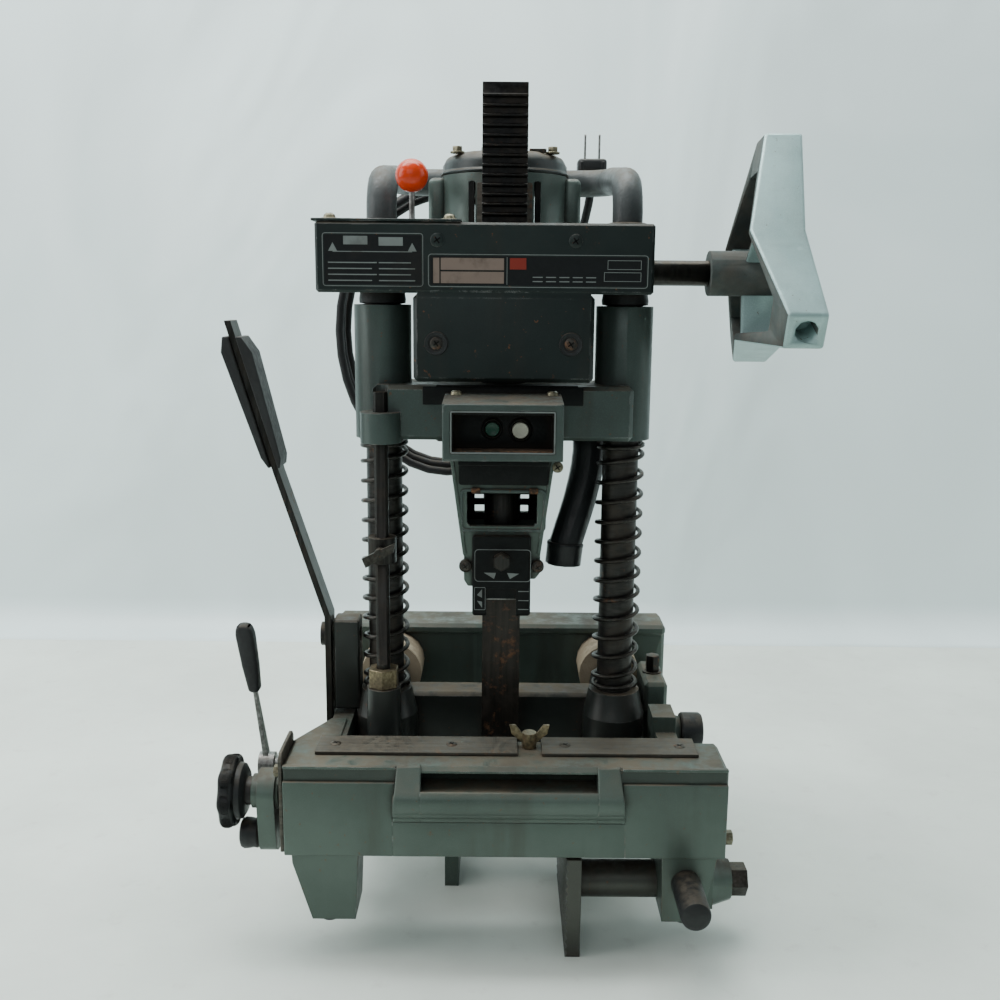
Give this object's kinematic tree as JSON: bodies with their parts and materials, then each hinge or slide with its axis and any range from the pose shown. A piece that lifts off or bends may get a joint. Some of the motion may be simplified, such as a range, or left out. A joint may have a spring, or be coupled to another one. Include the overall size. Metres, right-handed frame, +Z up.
{
  "type": "hollow chisel mortiser",
  "caption": "Bench mortising machine: motor head with square hollow chisel slides on sprung columns over a base with hanging timber jaws.",
  "frame": {"origin": "on the floor, at the middle of the machine's width and depth without its cord", "axes": "+X to the operator's right, +Y to the back, +Z up"},
  "size_m": [0.431, 0.3637, 0.641],
  "materials": {
    "grey_green_paint": "worn metallic grey-green paint",
    "blue_grey_paint": "satin blue-grey paint",
    "dark_steel": "oiled dark steel",
    "rusty_steel": "rusty brown steel",
    "bright_steel": "plain machined steel",
    "brass_screw": "worn yellow plating",
    "black_plastic": "matte black",
    "dark_tube": "matte dark grey",
    "cream_plastic": "aged cream",
    "red_plastic": "gloss orange red",
    "green_plastic": "dark green",
    "white_plastic": "off white",
    "copper_wire": "lacquered copper windings",
    "cord_rubber": "matte black rubber"
  },
  "bodies": {
    "base": {"base_frame": "grey_green_paint", "wear_strip_left": "rusty_steel", "wear_strip_right": "rusty_steel", "guide_sleeve_left": "cream_plastic", "guide_sleeve_right": "cream_plastic", "front_bumper": "black_plastic", "side_bumper": "black_plastic"},
    "carriage": {"carriage": "grey_green_paint", "guide_rod_left": "bright_steel", "guide_rod_right": "bright_steel", "column_left": "dark_steel", "column_right": "dark_steel", "spring_left": "dark_steel", "spring_right": "dark_steel", "depth_rod": "dark_steel", "depth_rod_nut": "brass_screw", "bridge_housing": "grey_green_paint", "bridge_plate": "grey_green_paint", "handle_tube": "dark_tube", "cord_coil": "cord_rubber", "cord_lead": "cord_rubber", "plug": "black_plastic"},
    "head": {"head_casting": "grey_green_paint", "motor_housing": "grey_green_paint", "motor_cap": "dark_tube", "brush_cap_left": "black_plastic", "brush_cap_right": "black_plastic", "switch_box": "grey_green_paint", "spindle_housing": "grey_green_paint", "chisel_holder": "black_plastic", "hollow_chisel": "rusty_steel", "rack": "dark_steel", "air_duct": "black_plastic", "cord_gland": "cord_rubber"},
    "spindle": {"spindle_chuck": "dark_steel", "auger_bit": "bright_steel"},
    "gear_shaft": {"gear_shaft": "dark_steel"},
    "armature": {"armature": "copper_wire"},
    "handwheel": {"handwheel": "blue_grey_paint", "feed_shaft": "dark_steel"},
    "shift_lever": {"shift_stem": "bright_steel", "shift_ball": "red_plastic"},
    "traverse_lever": {"traverse_lever": "dark_steel", "lever_grip_outer": "black_plastic", "lever_grip_inner": "black_plastic"},
    "crank": {"crank_arm": "grey_green_paint", "lead_screw": "dark_steel"},
    "crank_grip": {"crank_grip": "black_plastic"},
    "lock_knob": {"lock_knob": "black_plastic"},
    "left_jaw": {"left_jaw": "grey_green_paint"},
    "right_jaw": {"right_jaw": "grey_green_paint"},
    "jaw_screw": {"jaw_screw": "bright_steel"},
    "clamp_lever": {"clamp_lever": "dark_steel"},
    "front_wing_screw": {"front_wing_screw": "brass_screw"},
    "stop_collar": {"stop_collar": "dark_steel"},
    "stop_wing_bolt": {"stop_wing_bolt": "brass_screw"},
    "off_button": {"off_button": "green_plastic"},
    "on_button": {"on_button": "white_plastic"},
    "chisel_bolt": {"chisel_bolt": "bright_steel"},
    "chip_flap": {"chip_flap": "black_plastic"}
  },
  "joints": [
    {"name": "head_feed", "type": "slide", "parent": "carriage", "child": "head", "axis": [0, 0, -1], "range_m": [0, 0.0725], "stiffness_N_per_m": 1200, "springref_m": -0.15, "deforming": ["spring_left", "spring_right"]},
    {"name": "feed_turn", "type": "hinge", "parent": "carriage", "child": "handwheel", "pos_m": [0.16, -0.0235, 0.504], "axis": [1, 0, 0], "range_deg": [-265, 0]},
    {"name": "carriage_traverse", "type": "slide", "parent": "base", "child": "carriage", "axis": [0, 1, 0], "range_m": [-0.018, 0.0195]},
    {"name": "traverse_lever_swing", "type": "hinge", "parent": "carriage", "child": "traverse_lever", "pos_m": [-0.139, 0, 0.215], "axis": [1, 0, 0], "range_deg": [-11.5, 11.5]},
    {"name": "crank_turn", "type": "hinge", "parent": "base", "child": "crank", "pos_m": [-0.184, -0.09, 0.121], "axis": [1, 0, 0], "range_deg": [0, 1532]},
    {"name": "left_jaw_slide", "type": "slide", "parent": "base", "child": "left_jaw", "axis": [1, 0, 0], "range_m": [0, 0.017]},
    {"name": "crank_grip_spin", "type": "hinge", "parent": "crank", "child": "crank_grip", "pos_m": [-0.18, -0.09, 0.087], "axis": [1, 0, 0], "continuous": true},
    {"name": "lock_knob_turn", "type": "hinge", "parent": "crank", "child": "lock_knob", "pos_m": [-0.2, -0.09, 0.121], "axis": [1, 0, 0], "range_deg": [-180, 180]},
    {"name": "jaw_screw_turn", "type": "hinge", "parent": "base", "child": "jaw_screw", "pos_m": [0.18, -0.076, 0.044], "axis": [1, 0, 0], "range_deg": [-1730, 2594]},
    {"name": "right_jaw_slide", "type": "slide", "parent": "base", "child": "right_jaw", "axis": [1, 0, 0], "range_m": [-0.012, 0.018]},
    {"name": "clamp_lever_turn", "type": "hinge", "parent": "base", "child": "clamp_lever", "pos_m": [-0.185, -0.024, 0.112], "axis": [1, 0, 0], "range_deg": [-70, 0]},
    {"name": "front_wing_turn", "type": "hinge", "parent": "base", "child": "front_wing_screw", "pos_m": [0.022, -0.078, 0.16], "axis": [0, 0, 1], "range_deg": [-90, 90]},
    {"name": "collar_slide", "type": "slide", "parent": "carriage", "child": "stop_collar", "axis": [0, 0, 1], "range_m": [-0.085, 0]},
    {"name": "wing_bolt_turn", "type": "hinge", "parent": "stop_collar", "child": "stop_wing_bolt", "pos_m": [-0.092, -0.045, 0.294], "axis": [0, 1, 0], "range_deg": [-90, 90]},
    {"name": "off_button_press", "type": "slide", "parent": "head", "child": "off_button", "axis": [0, 1, 0], "range_m": [0, 0.003], "stiffness_N_per_m": 300, "springref_m": -0.002},
    {"name": "on_button_press", "type": "slide", "parent": "head", "child": "on_button", "axis": [0, 1, 0], "range_m": [0, 0.003], "stiffness_N_per_m": 300, "springref_m": -0.002},
    {"name": "shift_swing", "type": "hinge", "parent": "carriage", "child": "shift_lever", "pos_m": [-0.068, -0.025, 0.512], "axis": [0, 1, 0], "range_deg": [-22, 0]},
    {"name": "chisel_bolt_turn", "type": "hinge", "parent": "head", "child": "chisel_bolt", "pos_m": [0, -0.045, 0.287], "axis": [0, 1, 0], "range_deg": [-90, 90]},
    {"name": "flap_open", "type": "hinge", "parent": "head", "child": "chip_flap", "pos_m": [0, -0.0323, 0.3445], "axis": [1, 0, 0], "range_deg": [0, 100]},
    {"name": "armature_spin", "type": "hinge", "parent": "head", "child": "armature", "pos_m": [0, 0.07, 0.45], "axis": [0, 0, 1], "continuous": true},
    {"name": "gear_shaft_spin", "type": "hinge", "parent": "head", "child": "gear_shaft", "pos_m": [0, 0.038, 0.4], "axis": [0, 0, 1], "continuous": true},
    {"name": "spindle_spin", "type": "hinge", "parent": "head", "child": "spindle", "pos_m": [0, 0, 0.35], "axis": [0, 0, 1], "continuous": true}
  ],
  "couplings": [
    {"joint": "feed_turn", "follows": "head_feed", "rad_per_m": -63.492},
    {"joint": "traverse_lever_swing", "follows": "carriage_traverse", "rad_per_m": -10},
    {"joint": "crank_turn", "follows": "left_jaw_slide", "rad_per_m": 1570.8},
    {"joint": "jaw_screw_turn", "follows": "right_jaw_slide", "rad_per_m": 2513.3},
    {"joint": "gear_shaft_spin", "follows": "armature_spin", "ratio": -0.33333},
    {"joint": "spindle_spin", "follows": "armature_spin", "ratio": 0.11905}
  ]
}
